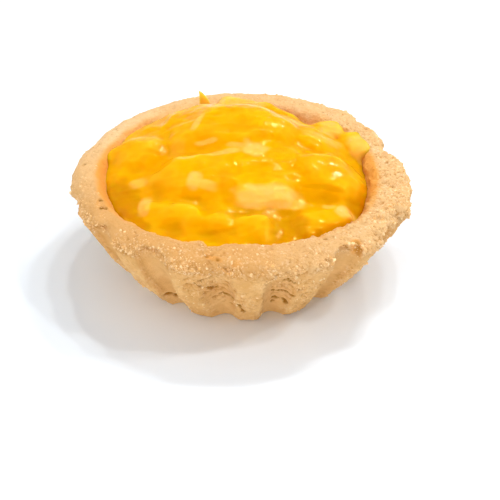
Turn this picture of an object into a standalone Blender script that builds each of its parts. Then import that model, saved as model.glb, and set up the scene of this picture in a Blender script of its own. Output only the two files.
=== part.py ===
"""A fluted shortcrust tartlet, heaped with pieces of yellow fruit in a set gel.

Metres, +Z up. The origin is the centre of the flat underside, and -Y is the front. The crust is one
turned shell whose outside is scooped into flutes. The filling is one solid that fits the shell: a
domed core of gel with the fruit pieces that show fused on.
"""

import math
import random

import bmesh
import bpy
from mathutils import Euler, Matrix, Vector, noise

MM = 0.001

# Driving dimensions of the crust.
RIM_RADIUS = 35.0 * MM
BASE_RADIUS = 24.4 * MM
HEIGHT = 21.4 * MM
RIM_WIDTH = 7.0 * MM
FLOOR_THICKNESS = 3.8 * MM
FLUTE_COUNT = 16
FLUTE_PHASE = math.radians(-75.8)  # the middle of scoop 0, just right of the front
STEPS_PER_FLUTE = 12

# How far the baked rim is from a true, level circle.
RIM_SADDLE = 0.5 * MM  # front and back stand higher than the sides
RIM_TILT = 0.9 * MM  # the left side stands higher than the right
RIM_TWIST = 0.3 * MM
RIM_NOD = 0.6 * MM  # the front stands higher than the back
CAVITY_SHIFT = Vector((-0.8 * MM, 0.6 * MM, 0.0))  # the wall is thicker in front and on the right
RIM_GROWTH_MM = (0.7, 0.2, 0.1, -0.9, -0.8, 0.2, 1.1, 0.6, -0.6, -1.4, -0.7, 0.3)  # every 30 degrees

# Places where the lip's edge is broken or stands out: (angle, half width in degrees, millimetres).
LIP_CHIPS = [(19, 8, -1.9), (48, 7, 1.0), (-26, 7, -0.8), (-165, 5, -0.9), (-13, 8, 0.5), (158, 6, -0.5)]

# Crumb relief on the crust.
LIP_RELIEF = 0.42 * MM
WALL_RELIEF = 0.16 * MM
SEED = 7
SHARP_ANGLE = math.radians(48.0)

# Driving dimensions of the filling.
FIT_GAP = 0.35 * MM
OVERHANG_GAP = 0.8 * MM  # over the rim
MIDDLE_RISE = 1.5 * MM  # of the gel over the rim at the centre
BACK_SLOPE = 0.16  # the heap climbs towards the back
PIECE_ROUNDING = 0.34  # of a fruit piece's shortest side
PIECE_UNEVENNESS = 0.1  # how far a piece's corners are off, as a share of its sides
FILLING_STEPS = 80
CORE_RINGS = 15

# Depth of the gel's edge below the rim's top, in millimetres, every 45 degrees from +X.
EDGE_DROPS_MM = (4.2, 4.4, 1.8, 0.9, 2.2, 3.0, 3.2, 3.6)


def clear_scene():
    for existing in list(bpy.data.objects):
        bpy.data.objects.remove(existing, do_unlink=True)


def smooth_step(low, high, value):
    """0 at low, 1 at high, and an S-curve between them. low may be the larger."""
    share = min(1.0, max(0.0, (value - low) / (high - low)))
    return share * share * (3.0 - 2.0 * share)


def value_around(values, angle):
    """A smooth blend of values that are given at even steps round the circle from +X."""
    turn = (angle % math.tau) / math.tau * len(values)
    before = int(turn) % len(values)
    after = (before + 1) % len(values)
    share = smooth_step(0.0, 1.0, turn - int(turn))
    return values[before] * (1.0 - share) + values[after] * share


def baked_colour(name, colour, roughness):
    """A Principled material of one colour."""
    material = bpy.data.materials.new(name)
    material.use_nodes = True
    shader = material.node_tree.nodes["Principled BSDF"]
    shader.inputs["Base Color"].default_value = (*colour, 1.0)
    shader.inputs["Roughness"].default_value = roughness
    material.diffuse_color = (*colour, 1.0)
    return material


def link_to(collection, obj, material):
    """Puts an object in the tart's collection with its material and smooth shading."""
    for owner in list(obj.users_collection):
        owner.objects.unlink(obj)
    collection.objects.link(obj)
    obj.data.materials.clear()
    obj.data.materials.append(material)
    obj.data.shade_smooth()
    obj.data.set_sharp_from_angle(angle=SHARP_ANGLE)


def turned(name, profile, steps):
    """The solid that a profile of (radius, height) sweeps round Z, as an object with a plain mesh."""
    outline = bpy.data.meshes.new(name + "_profile")
    points = [(radius, 0.0, height) for radius, height in profile]
    outline.from_pydata(points, [(i, i + 1) for i in range(len(points) - 1)], [])
    lathe = bpy.data.objects.new(name + "_lathe", outline)
    bpy.context.scene.collection.objects.link(lathe)
    screw = lathe.modifiers.new("Screw", "SCREW")
    screw.axis = "Z"
    screw.steps = steps
    screw.render_steps = steps
    screw.use_merge_vertices = True
    screw.merge_threshold = 0.00001
    bpy.context.view_layer.update()
    graph = bpy.context.evaluated_depsgraph_get()
    mesh = bpy.data.meshes.new_from_object(lathe.evaluated_get(graph))
    mesh.name = name
    bpy.data.objects.remove(lathe, do_unlink=True)
    return bpy.data.objects.new(name, mesh)


# Shape of the crust. Everything from here to formed() is worked out on a true circle.

def inner_wall():
    """(radius, height) of the cavity, from its rim to its floor."""
    mouth = RIM_RADIUS - RIM_WIDTH
    floor_radius = BASE_RADIUS - 6.0 * MM
    return [
        (mouth, HEIGHT - 0.7 * MM),
        (mouth - 0.9 * MM, HEIGHT - 2.2 * MM),
        (mouth - 2.6 * MM, HEIGHT - 5.4 * MM),
        (floor_radius + 0.8 * MM, FLOOR_THICKNESS + 1.6 * MM),
        (floor_radius - 1.4 * MM, FLOOR_THICKNESS),
    ]


def outer_wall():
    """(radius, height) of the outside at a flute's crest, from the rim's top to the underside."""
    top = [
        (RIM_RADIUS - 6.2 * MM, HEIGHT - 0.1 * MM),
        (RIM_RADIUS - 4.6 * MM, HEIGHT),
        (RIM_RADIUS - 2.9 * MM, HEIGHT - 0.2 * MM),
        (RIM_RADIUS - 1.6 * MM, HEIGHT - 0.7 * MM),
        (RIM_RADIUS - 0.6 * MM, HEIGHT - 1.6 * MM),
        (RIM_RADIUS, HEIGHT - 2.8 * MM),
    ]
    lip = (RIM_RADIUS - 0.3 * MM, HEIGHT - 3.8 * MM)
    foot = (BASE_RADIUS, 0.8 * MM)
    wall = []
    for share in (0.0, 0.06, 0.13, 0.24, 0.38, 0.53, 0.68, 0.84, 1.0):
        bow = 0.5 * MM * math.sin(math.pi * share)
        radius = lip[0] + (foot[0] - lip[0]) * share + bow
        wall.append((radius, lip[1] + (foot[1] - lip[1]) * share))
    return top + wall + [(BASE_RADIUS - 0.8 * MM, 0.0), (0.5 * BASE_RADIUS, 0.0)]


def cavity_radius(height):
    """Radius of the cavity at a height."""
    wall = inner_wall()
    for (upper_r, upper_z), (lower_r, lower_z) in zip(wall, wall[1:]):
        if height >= lower_z:
            share = (height - lower_z) / (upper_z - lower_z)
            return lower_r + (upper_r - lower_r) * min(share, 1.0)
    return wall[-1][0]


# Scoops on view: {number: (depth, half width in pitches, share of the height it starts at)}.
SEEN_SCOOPS = {
    -3: (2.8 * MM, 0.27, 0.95),
    -2: (3.4 * MM, 0.29, 0.96),
    -1: (2.6 * MM, 0.26, 0.88),
    0: (3.4 * MM, 0.27, 0.87),
    1: (3.2 * MM, 0.32, 0.96),
    2: (2.8 * MM, 0.28, 0.94),
}


def scoops_of(seed):
    """For each scoop: its depth, its half width in pitches and the share of the height it starts at."""
    draw = random.Random(seed)
    scoops = [
        (3.0 * MM * draw.uniform(0.85, 1.15), draw.uniform(0.26, 0.3), draw.uniform(0.9, 0.96))
        for _ in range(FLUTE_COUNT)
    ]
    for number, scoop in SEEN_SCOOPS.items():
        scoops[number % FLUTE_COUNT] = scoop
    return scoops


def scoop_depth(angle, height, scoops):
    """How far the outside is scooped in at an angle and a height. Scoops are shallower at the foot."""
    turn = (angle - FLUTE_PHASE) / math.tau * FLUTE_COUNT
    number = round(turn)
    depth, half_width, start = scoops[number % FLUTE_COUNT]
    across = abs(turn - number) / half_width
    if across >= 1.0:
        return 0.0
    share = height / HEIGHT
    down = smooth_step(start, start - 0.12, share) * (0.62 + 0.38 * smooth_step(0.0, 0.45, share))
    return depth * math.cos(0.5 * math.pi * across) ** 0.6 * down


def chip_depth(angle):
    """How far the lip's edge stands out at an angle, beyond the rim's own outline."""
    total = 0.0
    for middle, half_width, amount in LIP_CHIPS:
        apart = abs((math.degrees(angle) - middle + 180.0) % 360.0 - 180.0)
        total += amount * MM * smooth_step(half_width, 0.4 * half_width, apart)
    return total


def formed(radius, angle, height):
    """The place of a point of the true tart on the baked one, whose rim is neither round nor level."""
    share = smooth_step(0.0, 1.0, height / HEIGHT)
    radius += value_around(RIM_GROWTH_MM, angle) * MM * share * radius / RIM_RADIUS
    lift = -RIM_TILT * math.cos(angle) - RIM_SADDLE * math.cos(2.0 * angle)
    lift += RIM_TWIST * math.sin(2.0 * angle) - RIM_NOD * math.sin(angle)
    place = Vector((radius * math.cos(angle), radius * math.sin(angle), height + lift * share))
    return place + CAVITY_SHIFT * smooth_step(RIM_RADIUS, RIM_RADIUS - RIM_WIDTH, radius) * share


def crumb_relief(point):
    """How far crumbs stand out at a point, as a share of the relief."""
    coarse = noise.noise(point * 210.0)
    fine = noise.noise(point * 520.0 + Vector((3.0, 1.0, 7.0)))
    return 0.6 * coarse + 0.6 * fine


def baked(point, scoops):
    """Where a point of the turned shell ends up, once it is fluted, broken and crumbly."""
    radius = math.hypot(point.x, point.y)
    angle = math.atan2(point.y, point.x)
    height = point.z
    if radius < cavity_radius(height) + 1.0 * MM or radius < 0.8 * BASE_RADIUS:
        return formed(radius, angle, height)
    lip_edge = smooth_step(0.6 * RIM_WIDTH, RIM_WIDTH, radius - RIM_RADIUS + RIM_WIDTH)
    radius -= scoop_depth(angle, height, scoops)
    if height > HEIGHT - 3.0 * MM:
        relief = LIP_RELIEF * crumb_relief(point)
        radius += relief + chip_depth(angle) * lip_edge
        height += relief
    elif height > 0.0:
        radius += WALL_RELIEF * crumb_relief(point)
    return formed(radius, angle, height)


def build_crust(collection):
    """The pastry shell."""
    centre_line = [(0.0, FLOOR_THICKNESS)]
    profile = centre_line + list(reversed(inner_wall())) + outer_wall() + [(0.0, 0.0)]
    crust = turned("crust", profile, FLUTE_COUNT * STEPS_PER_FLUTE)
    scoops = scoops_of(SEED)
    for vertex in crust.data.vertices:
        vertex.co = baked(vertex.co.copy(), scoops)
    link_to(collection, crust, baked_colour("shortcrust", (0.78, 0.47, 0.19), 0.85))
    return crust


# Shape of the filling.

# Lumps where fruit lies under the gel, in millimetres and degrees:
# (middle in plan, rise, half width, half depth, turn).
LUMPS = [
    ((18.4, -3.0), 3.3, 7.8, 7.0, -6),
    ((-1.6, 10.4), 3.0, 14.6, 9.8, 2),
    ((-10.8, -5.4), 2.2, 8.2, 6.2, 8),
    ((-23.6, 5.6), 1.9, 5.4, 5.0, 20),
    ((-16.6, 4.2), 1.3, 4.8, 4.0, 0),
    ((1.0, 0.6), 0.9, 7.4, 3.2, -5),
    ((-22.2, -5.2), 1.4, 4.8, 4.0, -20),
    ((-13.6, 17.6), 1.4, 7.2, 5.4, 24),
    ((15.6, 9.4), 1.2, 6.0, 5.0, -20),
    ((8.6, -15.6), 0.7, 7.0, 5.0, 0),
]


def lump_rise(x, y):
    """How far the lumps raise the gel over a point of the floor plan."""
    rise = 0.0
    for (middle_x, middle_y), height, half_width, half_depth, turn in LUMPS:
        away = Vector((x - middle_x * MM, y - middle_y * MM)) / MM
        away.rotate(Matrix.Rotation(-math.radians(turn), 2))
        apart = math.hypot(away.x / half_width, away.y / half_depth)
        rise = max(rise, height * MM * smooth_step(1.0, 0.55, apart))
    return rise


def gel_top(x, y):
    """Height of the gel's top over a point of the floor plan."""
    angle = math.atan2(y, x)
    edge_drop = value_around(EDGE_DROPS_MM, angle) * MM
    reach = formed(cavity_radius(HEIGHT - edge_drop), angle, HEIGHT)
    share = min(1.0, math.hypot(x, y) / math.hypot(reach.x, reach.y)) ** 3
    middle = MIDDLE_RISE + BACK_SLOPE * y
    edge = reach.z - HEIGHT - edge_drop
    return HEIGHT + middle * (1.0 - share) + edge * share + lump_rise(x, y) * (1.0 - 0.6 * share)


# Fruit pieces that stand out of the gel, in millimetres and degrees: where the middle of the top
# face is in plan, how far it stands over the gel, (width, depth, height), (tip to the front, tip to
# the right, turn). The last is a shred that hangs over the rim at the back.
FRUIT_PIECES = [
    ((6.0, -9.8), 2.0, (12.8, 7.6, 6.0), (36, 3, 3)),
    ((2.0, -19.4), 1.7, (8.0, 5.8, 6.0), (20, -4, -6)),
    ((-6.2, -18.8), 1.4, (8.4, 6.2, 5.4), (26, -10, 12)),
    ((-15.4, -15.4), 1.8, (11.4, 6.2, 6.4), (24, -8, -28)),
    ((17.4, -15.8), 1.6, (12.6, 6.4, 6.0), (22, 6, 28)),
    ((21.0, 14.6), 2.6, (6.0, 5.6, 6.0), (8, 6, 16)),
    ((17.0, 8.2), 0.6, (8.0, 6.4, 5.6), (16, -4, -14)),
    ((24.6, 8.4), 2.2, (4.4, 6.8, 6.6), (8, 14, 12)),
    ((1.6, 20.6), 1.5, (12.6, 6.2, 5.0), (-4, 4, -3)),
    ((-3.4, -12.0), 1.2, (7.0, 6.6, 5.0), (26, -8, 22)),
    ((10.2, -20.6), 0.8, (7.4, 4.8, 5.0), (16, 4, -2)),
    ((-9.0, -6.6), 0.2, (6.4, 5.0, 4.0), (22, -3, 14)),
    ((-22.6, -5.2), 0.3, (5.4, 4.4, 4.0), (14, -8, -20)),
    ((20.8, -11.6), 0.9, (5.0, 4.6, 5.0), (18, 12, 30)),
    ((-12.4, 12.8), 0.5, (7.6, 6.2, 4.0), (10, -8, 24)),
    ((5.0, 13.4), 0.3, (8.4, 6.0, 4.0), (-2, 8, -10)),
    ((-14.6, 20.4), 0.9, (7.4, 5.4, 4.6), (-6, -10, 30)),
    ((12.4, 17.6), 0.9, (6.4, 5.4, 4.6), (-6, 8, -24)),
    ((-23.0, 8.6), 0.5, (5.6, 5.0, 4.0), (4, -14, 36)),
    ((-9.0, 27.2), 2.3, (3.0, 5.4, 2.6), (4, 0, 10)),
]


def fruit_piece(number, piece):
    """One cut piece of fruit, its corners uneven and its edges round, as an object."""
    (x, y), lift, size, turns = piece
    draw = random.Random(SEED + number)
    block = bmesh.new()
    bmesh.ops.create_cube(block, size=1.0)
    for corner in block.verts:
        for axis in range(3):
            uneven = draw.uniform(-PIECE_UNEVENNESS, PIECE_UNEVENNESS)
            corner.co[axis] = (corner.co[axis] + uneven) * size[axis] * MM
    width = PIECE_ROUNDING * min(size) * MM
    bmesh.ops.bevel(block, geom=block.edges[:], offset=width, segments=3, affect="EDGES", profile=0.5)
    mesh = bpy.data.meshes.new(f"fruit_{number}")
    block.to_mesh(mesh)
    block.free()
    place = Vector((x * MM, y * MM, gel_top(x * MM, y * MM) + lift * MM))
    turn = Euler([math.radians(value) for value in turns]).to_matrix().to_4x4()
    sunk = Matrix.Translation((0.0, 0.0, -0.5 * size[2] * MM))
    mesh.transform(Matrix.Translation(place) @ turn @ sunk)
    return bpy.data.objects.new(f"fruit_{number}", mesh)


def gel_core():
    """A flat turned drum wider than the cavity, its top raised to the heap's shape."""
    width = RIM_RADIUS - 4.0 * MM
    bottom = FLOOR_THICKNESS - 1.0 * MM
    top = [(width * ring / CORE_RINGS, HEIGHT) for ring in range(CORE_RINGS + 1)]
    core = turned("gel_core", top + [(width, bottom), (0.0, bottom)], FILLING_STEPS)
    for vertex in core.data.vertices:
        if vertex.co.z > 0.5 * HEIGHT:
            vertex.co.z = gel_top(vertex.co.x, vertex.co.y)
    return core


def cavity_plug():
    """All the room there is for the filling: the cavity less the gap, and the air over the rim."""
    mouth = inner_wall()[0][0] - FIT_GAP
    over_rim = HEIGHT + OVERHANG_GAP
    ceiling = HEIGHT + 20.0 * MM
    air = [(0.0, ceiling), (RIM_RADIUS, ceiling), (RIM_RADIUS, over_rim), (mouth, over_rim)]
    wall = [(radius - FIT_GAP, height) for radius, height in inner_wall()[:-1]]
    floor = (inner_wall()[-1][0] - FIT_GAP, FLOOR_THICKNESS + FIT_GAP)
    plug = turned("plug", air + wall + [floor, (0.0, floor[1])], FILLING_STEPS)
    for vertex in plug.data.vertices:
        radius = math.hypot(vertex.co.x, vertex.co.y)
        vertex.co = formed(radius, math.atan2(vertex.co.y, vertex.co.x), vertex.co.z)
    return plug


def combined(obj, operation, others):
    """The mesh of a Boolean between an object and a list of others, all of which are removed."""
    scene = bpy.context.scene.collection
    scene.objects.link(obj)
    group = bpy.data.collections.new("others")
    scene.children.link(group)
    for other in others:
        group.objects.link(other)
    boolean = obj.modifiers.new("Boolean", "BOOLEAN")
    boolean.operation = operation
    boolean.operand_type = "COLLECTION"
    boolean.collection = group
    boolean.solver = "MANIFOLD"
    bpy.context.view_layer.update()
    graph = bpy.context.evaluated_depsgraph_get()
    mesh = bpy.data.meshes.new_from_object(obj.evaluated_get(graph))
    for spent in [obj, *others]:
        bpy.data.objects.remove(spent, do_unlink=True)
    bpy.data.collections.remove(group)
    return mesh


def build_filling(collection):
    """The gel with its fruit: the core and the pieces as one solid, trimmed to the shell."""
    pieces = [fruit_piece(number, piece) for number, piece in enumerate(FRUIT_PIECES)]
    heap = bpy.data.objects.new("heap", combined(gel_core(), "UNION", pieces))
    filling = bpy.data.objects.new("filling", combined(heap, "INTERSECT", [cavity_plug()]))
    link_to(collection, filling, baked_colour("fruit_gel", (0.95, 0.52, 0.02), 0.25))
    return filling


def main():
    clear_scene()
    tart = bpy.data.collections.new("fruit_tartlet")
    bpy.context.scene.collection.children.link(tart)
    build_crust(tart)
    build_filling(tart)


if __name__ == "__main__":
    main()
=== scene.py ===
"""The looks of a small fluted shortcrust tartlet, heaped with pieces of yellow fruit in a set gel.

Shapes are worked out in millimetres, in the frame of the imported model: the origin is the centre of
the flat underside, +Z is up and -Y is the front. put_piece() turns them into metres. The crust and
the room for the filling are made on a true circle, and formed() bends them to the baked tart.
Values given every 30 degrees start at +X and go round anticlockwise.
"""

import math
import random

import bmesh
import bpy
import numpy as np
from mathutils import Euler, Matrix, Vector, noise


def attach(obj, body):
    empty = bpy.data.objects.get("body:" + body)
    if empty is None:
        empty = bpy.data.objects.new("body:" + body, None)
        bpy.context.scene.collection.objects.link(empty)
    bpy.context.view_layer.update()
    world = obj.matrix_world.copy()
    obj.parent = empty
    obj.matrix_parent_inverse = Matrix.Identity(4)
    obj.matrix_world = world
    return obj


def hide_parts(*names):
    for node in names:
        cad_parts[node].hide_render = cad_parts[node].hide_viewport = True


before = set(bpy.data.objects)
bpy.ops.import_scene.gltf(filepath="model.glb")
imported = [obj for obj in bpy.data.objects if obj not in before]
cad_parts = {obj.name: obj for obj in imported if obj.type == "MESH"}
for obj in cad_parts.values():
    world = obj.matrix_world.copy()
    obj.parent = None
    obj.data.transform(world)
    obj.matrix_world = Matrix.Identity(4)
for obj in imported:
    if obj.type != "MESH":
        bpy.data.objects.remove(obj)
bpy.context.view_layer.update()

MM = 0.001
SEED = 7

# Driving dimensions of the crust, in millimetres, as the solids have them.
RIM_RADIUS = 35.0
BASE_RADIUS = 24.4
HEIGHT = 21.4
RIM_WIDTH = 7.0
FLOOR_THICKNESS = 3.8
MOUTH = RIM_RADIUS - RIM_WIDTH
FLUTE_COUNT = 16
FLUTE_PHASE = math.radians(-75.8)  # the middle of scoop 0, just right of the front

# How the baked tart departs from the true one: its rim's tilt, nod, saddle and twist, its cavity's
# shift, and how much wider its mouth and its rim are, every 30 degrees.
RIM_TILT = 0.9
RIM_NOD = 0.6
RIM_SADDLE = 0.5
RIM_TWIST = 0.3
CAVITY_SHIFT = (-0.8, 0.6)
MOUTH_GROWTH = (0.0, 0.0, 0.0, 0.0, 0.0, 0.0, 0.2, 1.2, 1.6, 0.5, 0.5, 1.2)
RIM_GROWTH = (0.7, 0.2, 0.1, -0.9, -0.8, 0.2, 1.1, 0.6, -0.6, -1.4, -0.7, 0.3)

# Where the lip's outer edge, or its mouth's, lies out of line, as (middle and half width in degrees,
# distance out).
LIP_CHIPS = [
    (19, 8, -1.9),
    (48, 7, 1.0),
    (-26, 7, -0.8),
    (-165, 5, -0.9),
    (-13, 8, 0.5),
    (158, 6, -0.5),
]
MOUTH_CHIPS = [
    (-99.5, 5, 1.0),
    (-105, 3, -0.4),
    (-55.7, 3, 0.6),
    (-78, 6, 0.2),
    (14, 5, 0.4),
    (-140, 6, 0.3),
]

# Scoops on view: {number: (depth, half width in pitches, share of the height it starts at, the
# share over which it fades in, power of its cross-section, and shift in pitches)}. A short fade
# leaves the lip hanging over the scoop, and a power over 1 makes it a soft hollow.
SEEN_SCOOPS = {
    -3: (2.8, 0.27, 0.97, 0.05, 0.6, 0.0),
    -2: (3.4, 0.30, 0.985, 0.05, 0.6, -0.02),
    -1: (3.0, 0.32, 0.95, 0.4, 1.1, 0.0),
    0: (3.3, 0.30, 0.95, 0.5, 0.8, 0.0),
    1: (3.3, 0.29, 0.995, 0.08, 0.6, 0.06),
    2: (2.8, 0.28, 0.95, 0.06, 0.6, 0.0),
}

# What the other scoops' depth, half width and start are drawn from, and their other values.
OTHER_SCOOP_RANGES = [(2.55, 3.45), (0.26, 0.3), (0.9, 0.96)]
OTHER_SCOOP_REST = (0.1, 0.6, 0.0)

# How much lower a scoop's top is at its sides, as a share of the height, what share of its depth is
# left at the foot, and from which share of the height it is full.
SCOOP_ARCH = 0.06
SCOOP_AT_FOOT = 0.62
SCOOP_FULL_FROM = 0.45

# Resolution: steps round the crust and the gel, the gel's rings, and sizes in millimetres.
CRUST_STEPS = 720
CRUST_ROW = 0.3
GEL_STEPS = 240
GEL_RINGS = 60
GEL_VOXEL = 0.36


# Fields and curves.

def smooth_step(low, high, value):
    """0 at low, 1 at high, and an S-curve between them. low may be the larger."""
    share = np.clip((value - low) / (high - low), 0.0, 1.0)
    return share * share * (3.0 - 2.0 * share)


def value_around(values, angle):
    """A smooth blend of values given at even steps round the circle from +X."""
    values = np.asarray(values)
    turn = (angle % math.tau) / math.tau * len(values)
    before = np.floor(turn).astype(int) % len(values)
    share = smooth_step(0.0, 1.0, turn - np.floor(turn))
    return values[before] * (1.0 - share) + values[(before + 1) % len(values)] * share


def lumps(points, size, seed):
    """Smooth noise between about -1 and 1 at points, with lumps of that size in millimetres."""
    shift = Vector((17.3 * seed, 5.1 * seed, -9.7 * seed))
    return np.array([noise.noise(Vector(point) + shift) for point in points / size])


def waves(points, kind):
    """Smooth relief of one kind: (height, size of its lumps, seed)."""
    height, size, seed = kind
    return height * lumps(points, size, seed)


def patches(points, kind):
    """0 to 1 in patches of one kind: (size, seed, noise at their edge, noise where they are full)."""
    size, seed, edge, full = kind
    return smooth_step(edge, full, lumps(points, size, seed))


def granules(points, kind):
    """1 in the middle of each uneven granule of one kind, (size, seed), and 0 between granules."""
    size, seed = kind
    shift = Vector((3.7 * seed, -8.3 * seed, 6.1 * seed))
    bends = [lumps(points, 0.8 * size, seed + axis) for axis in range(3)]
    bent = points + 0.35 * size * np.stack(bends, axis=-1)
    near = np.array([noise.voronoi(Vector(point) + shift)[0][:2] for point in bent / size])
    return np.clip((near[:, 1] - near[:, 0]) * 1.8, 0.0, 1.0)


def along_curve(points, step):
    """Points every step along a smooth curve through the given ones."""
    ends = np.array([points[0], *points, points[-1]], float)
    found = []
    for before, start, end, after in zip(ends, ends[1:], ends[2:], ends[3:]):
        count = max(1, round(np.linalg.norm(end - start) / step))
        for share in np.arange(count) / count:
            bend = 2.0 * before - 5.0 * start + 4.0 * end - after
            twist = -before + 3.0 * start - 3.0 * end + after
            found.append(0.5 * (2.0 * start + (end - before) * share + bend * share**2 + twist * share**3))
    return found + [ends[-1]]


# Meshes.

def ring_mesh(profile, steps):
    """(radius, angle, height, faces) of the solid that a profile of (radius, height) sweeps round Z.

    The profile runs from one point on the axis to another, with the outside on its left.
    """
    rings = np.array(profile[1:-1])
    turns = np.arange(steps) * math.tau / steps
    radius = np.append(np.repeat(rings[:, 0], steps), (0.0, 0.0))
    height = np.append(np.repeat(rings[:, 1], steps), (profile[0][1], profile[-1][1]))
    angle = np.append(np.tile(turns, len(rings)), (0.0, 0.0))
    here = np.arange(len(rings) * steps).reshape(len(rings), steps)
    beside = np.roll(here, -1, axis=1)
    quads = np.stack([here[:-1], here[1:], beside[1:], beside[:-1]], axis=-1).reshape(-1, 4)
    first, last = len(radius) - 2, len(radius) - 1
    faces = quads.tolist()
    faces += [(first, int(a), int(b)) for a, b in zip(here[0], beside[0])]
    faces += [(last, int(b), int(a)) for a, b in zip(here[-1], beside[-1])]
    return radius, angle, height, faces


def flat_mesh(name, points, faces):
    """A Blender mesh from points, in whatever unit they are in."""
    mesh = bpy.data.meshes.new(name)
    mesh.from_pydata([tuple(point) for point in np.asarray(points).tolist()], [], faces)
    mesh.update()
    return mesh


def points_of(mesh):
    points = np.empty(3 * len(mesh.vertices))
    mesh.vertices.foreach_get("co", points)
    return points.reshape(-1, 3)


def normals_of(mesh):
    normals = np.empty(3 * len(mesh.vertices))
    mesh.vertex_normals.foreach_get("vector", normals)
    return normals.reshape(-1, 3)


def move_points(mesh, points):
    mesh.vertices.foreach_set("co", np.asarray(points, float).ravel())
    mesh.update()


def edges_of(mesh):
    edges = np.empty(2 * len(mesh.edges), int)
    mesh.edges.foreach_get("vertices", edges)
    return edges.reshape(-1, 2)


def relaxed(points, edges, rounds):
    """Points after each has moved halfway to its neighbours' mean, for a number of rounds."""
    one, other = edges.T
    count = np.bincount(edges.ravel(), minlength=len(points))
    for _ in range(rounds):
        mean = np.empty_like(points)
        for axis in range(3):
            column = points[:, axis]
            total = np.bincount(one, weights=column[other], minlength=len(points))
            total += np.bincount(other, weights=column[one], minlength=len(points))
            mean[:, axis] = total / count
        points = 0.5 * (points + mean)
    return points


def hollow_of(mesh, rounds, deep):
    """How hollow a mesh is: 1 where it lies deep below its relaxed surface, and -1 on a bump."""
    points = points_of(mesh)
    away = relaxed(points, edges_of(mesh), rounds) - points
    return np.clip(np.einsum("ij,ij->i", away, normals_of(mesh)) / deep, -1.0, 1.0)


def put_attributes(mesh, **attributes):
    """Stores values at a mesh's points, for the materials."""
    for name, values in attributes.items():
        attribute = mesh.attributes.new(name, "FLOAT", "POINT")
        attribute.data.foreach_set("value", np.asarray(values, np.float32))


def put_piece(name, mesh, material, replaced=None):
    """Turns a mesh into metres and adds it to the scene as a piece of the tart."""
    move_points(mesh, points_of(mesh) * MM)
    mesh.shade_smooth()
    mesh.materials.clear()
    mesh.materials.append(material)
    piece = bpy.data.objects.new(name, mesh)
    bpy.context.scene.collection.objects.link(piece)
    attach(piece, "root")
    if replaced:
        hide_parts(replaced)


# Shape of the tart, as in the solids.

def inner_wall():
    """(radius, height) of the cavity, from its rim to its floor."""
    floor_radius = BASE_RADIUS - 6.0
    return [
        (MOUTH, HEIGHT - 0.7),
        (MOUTH - 0.9, HEIGHT - 2.2),
        (MOUTH - 2.6, HEIGHT - 5.4),
        (floor_radius + 0.8, FLOOR_THICKNESS + 1.6),
        (floor_radius - 1.4, FLOOR_THICKNESS),
    ]


def cavity_radius(height):
    """Radius of the cavity at a height."""
    radii, heights = np.array(inner_wall()[::-1]).T
    return np.interp(height, heights, radii)


def edge_shift(angle, chips):
    """How far out of line an edge lies at an angle."""
    total = np.zeros_like(angle)
    for middle, half_width, distance in chips:
        apart = np.abs((np.degrees(angle) - middle + 180.0) % 360.0 - 180.0)
        total += distance * smooth_step(half_width, 0.4 * half_width, apart)
    return total


def formed(radius, angle, height):
    """Where a point of the true tart is on the baked one, whose rim is neither round nor level."""
    share = smooth_step(0.0, 1.0, height / HEIGHT)
    radius = radius + value_around(RIM_GROWTH, angle) * share * radius / RIM_RADIUS
    lift = -RIM_TILT * np.cos(angle) - RIM_SADDLE * np.cos(2.0 * angle)
    lift += RIM_TWIST * np.sin(2.0 * angle) - RIM_NOD * np.sin(angle)
    shift = smooth_step(RIM_RADIUS, MOUTH, radius) * share
    radius = radius + (value_around(MOUTH_GROWTH, angle) + edge_shift(angle, MOUTH_CHIPS)) * shift
    x = radius * np.cos(angle) + CAVITY_SHIFT[0] * shift
    y = radius * np.sin(angle) + CAVITY_SHIFT[1] * shift
    return np.stack([x, y, height + lift * share], axis=-1)


# The crust.

def outer_wall():
    """(radius, height) of the outside at a flute's crest, from the rim's inner edge to the foot."""
    top = [
        (RIM_RADIUS - 6.2, HEIGHT - 0.1),
        (RIM_RADIUS - 4.6, HEIGHT),
        (RIM_RADIUS - 2.9, HEIGHT - 0.2),
        (RIM_RADIUS - 1.6, HEIGHT - 0.7),
        (RIM_RADIUS - 0.6, HEIGHT - 1.6),
        (RIM_RADIUS, HEIGHT - 2.8),
    ]
    lip = (RIM_RADIUS - 0.3, HEIGHT - 3.8)
    foot = (BASE_RADIUS, 0.8)
    wall = []
    for share in (0.0, 0.13, 0.38, 0.68, 1.0):
        bow = 0.5 * math.sin(math.pi * share)
        wall.append((lip[0] + (foot[0] - lip[0]) * share + bow, lip[1] + (foot[1] - lip[1]) * share))
    return top + wall + [(BASE_RADIUS - 0.8, 0.0)]


# (radius, height) of the cavity where the filling hides it, and of where it comes into view.
HIDDEN_INSIDE = [
    (0.0, FLOOR_THICKNESS),
    (8.0, FLOOR_THICKNESS),
    (16.4, 3.9),
    (18.8, 5.2),
    (21.2, 9.0),
    (23.6, 13.0),
]
SEEN_FROM = (25.0, 15.4)


def crust_profile():
    """(radius, height) of half a section: the cavity, the rim, the outside and the underside."""
    rim = [SEEN_FROM, *inner_wall()[2::-1], *outer_wall()]
    under = [(0.85 * BASE_RADIUS, 0.0), (0.5 * BASE_RADIUS, 0.0), (0.0, 0.0)]
    return HIDDEN_INSIDE + along_curve(rim, CRUST_ROW) + under


def all_scoops():
    """For each scoop: what SEEN_SCOOPS holds, or else a draw."""
    draw = random.Random(SEED)
    scoops = []
    for _ in range(FLUTE_COUNT):
        drawn = [draw.uniform(low, high) for low, high in OTHER_SCOOP_RANGES]
        scoops.append((*drawn, *OTHER_SCOOP_REST))
    for number, scoop in SEEN_SCOOPS.items():
        scoops[number % FLUTE_COUNT] = scoop
    return np.array(scoops)


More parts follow.
